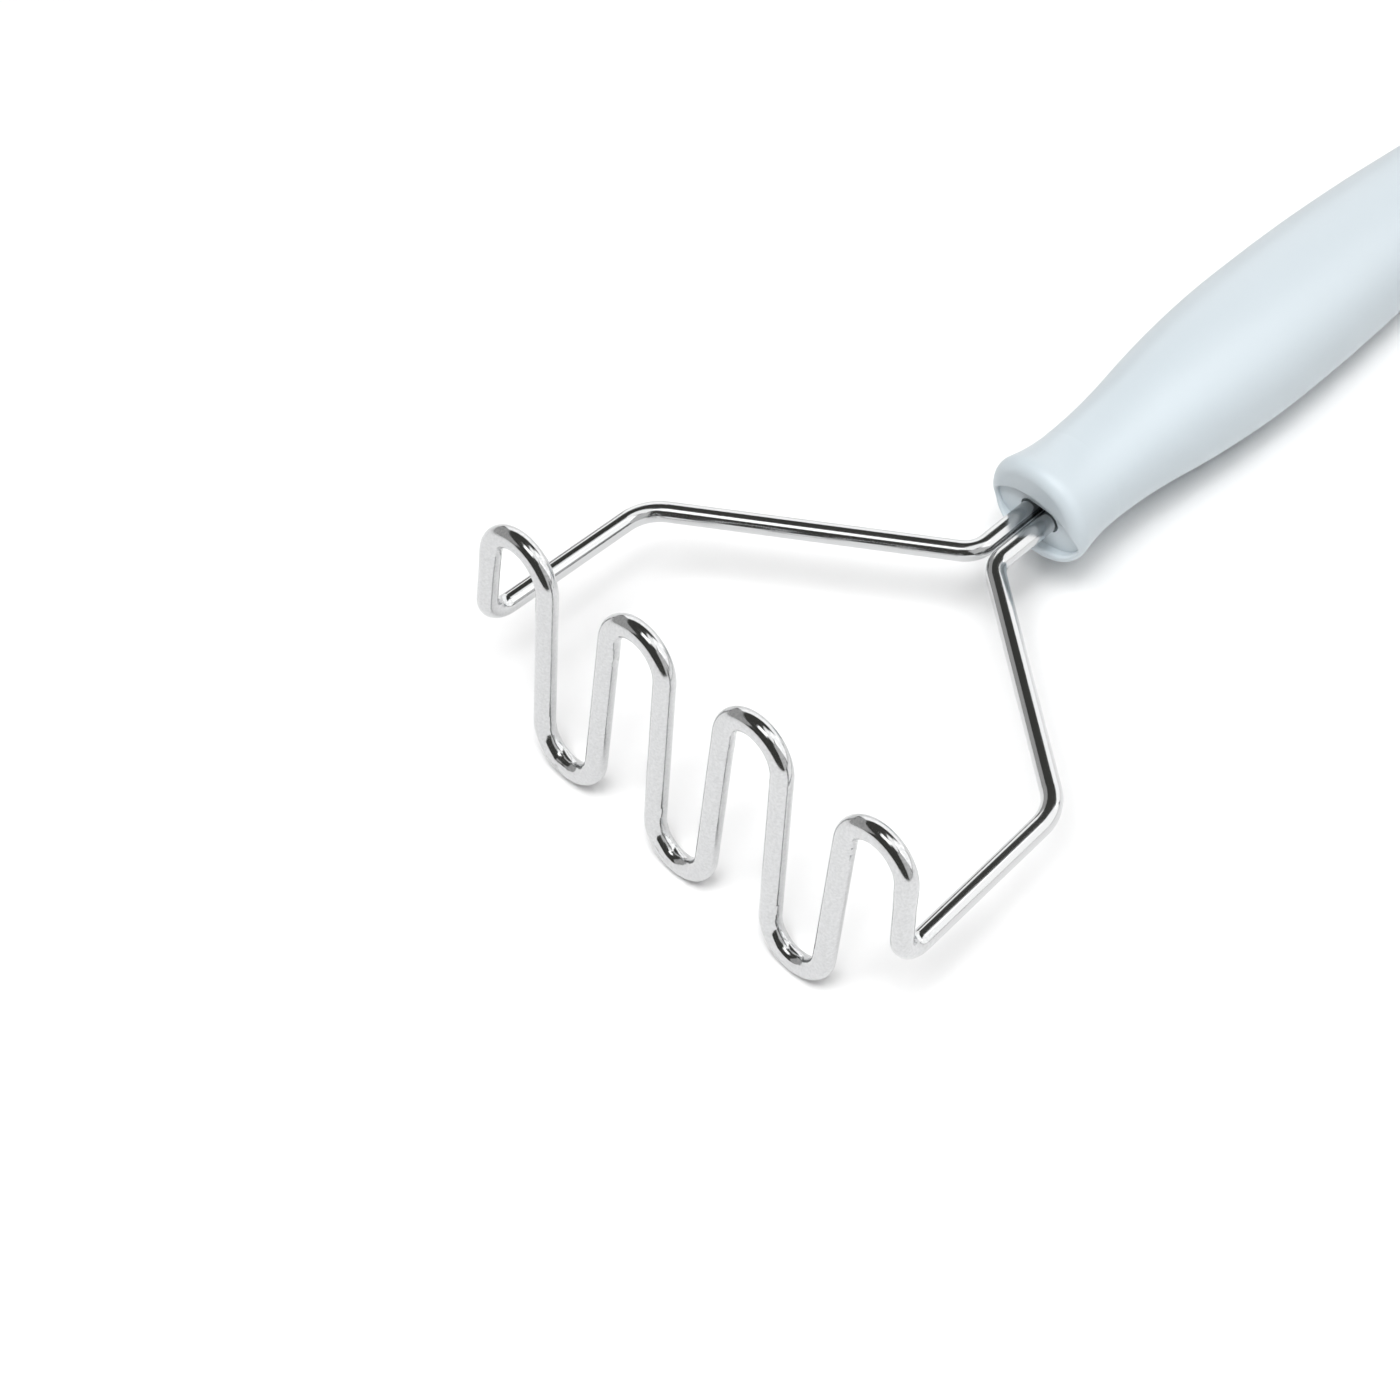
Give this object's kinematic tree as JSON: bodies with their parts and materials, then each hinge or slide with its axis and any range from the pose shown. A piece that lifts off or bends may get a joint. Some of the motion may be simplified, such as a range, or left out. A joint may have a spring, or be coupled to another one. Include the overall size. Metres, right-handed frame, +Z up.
{
  "type": "potato masher",
  "caption": "Potato masher of one chromed wire bent into a wave, with two arms that meet in a round moulded plastic handle with a hanging hole.",
  "frame": {"origin": "on the table under the middle of the lying tool's bounding box", "axes": "+Y from the wave along the tool to the handle's tail, +Z up from the table the tool lies on, +X to the right across the head"},
  "size_m": [0.1098, 0.2205, 0.0502],
  "materials": {
    "chrome_wire": "bright polished plate",
    "blue_plastic": "glossy moulded"
  },
  "bodies": {
    "root": {"masher_wire": "chrome_wire", "handle": "blue_plastic"}
  },
  "joints": []
}
